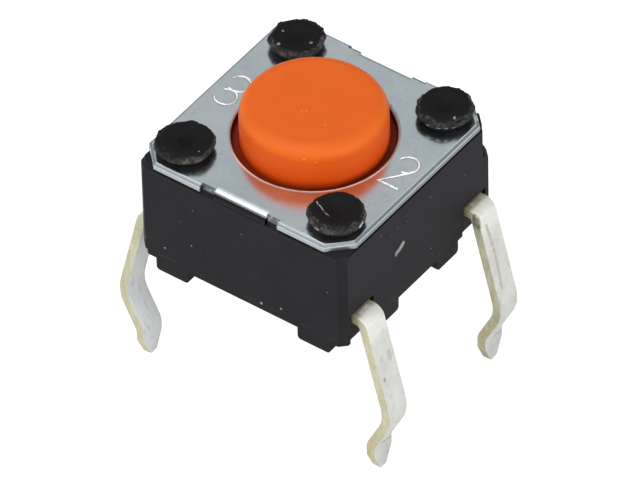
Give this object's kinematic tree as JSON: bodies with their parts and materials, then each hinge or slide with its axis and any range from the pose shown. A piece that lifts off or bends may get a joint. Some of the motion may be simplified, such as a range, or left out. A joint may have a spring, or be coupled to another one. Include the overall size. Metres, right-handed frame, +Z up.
{
  "type": "tactile push button switch",
  "caption": "Square push button switch for through-hole boards: black moulded body, staked sheet metal cover, round orange plunger and kinked snap-in terminals.",
  "frame": {"origin": "centre of the body on the plane of the standoff feet, where the switch meets the board", "axes": "+Z up to the plunger, +X through one terminal side, +Y through one side where the cover's tab is bent down"},
  "size_m": [0.008, 0.006, 0.0082],
  "materials": {
    "housing_plastic": "moulded black, satin",
    "cover_sheet": "satin stamped sheet",
    "plunger_plastic": "moulded orange, satin",
    "dome_spring": "bright spring sheet",
    "terminal_plating": "silver plated, lightly stained"
  },
  "bodies": {
    "base": {"housing": "housing_plastic", "cover_plate": "cover_sheet", "snap_dome": "dome_spring", "outer_contact_frame": "terminal_plating", "centre_contact_frame": "terminal_plating"},
    "button": {"plunger": "plunger_plastic"}
  },
  "joints": [
    {"name": "plunger_slide", "type": "slide", "parent": "base", "child": "button", "axis": [0, 0, -1], "range_m": [0, 0.00025], "stiffness_N_per_m": 6400, "deforming": ["snap_dome"]}
  ]
}
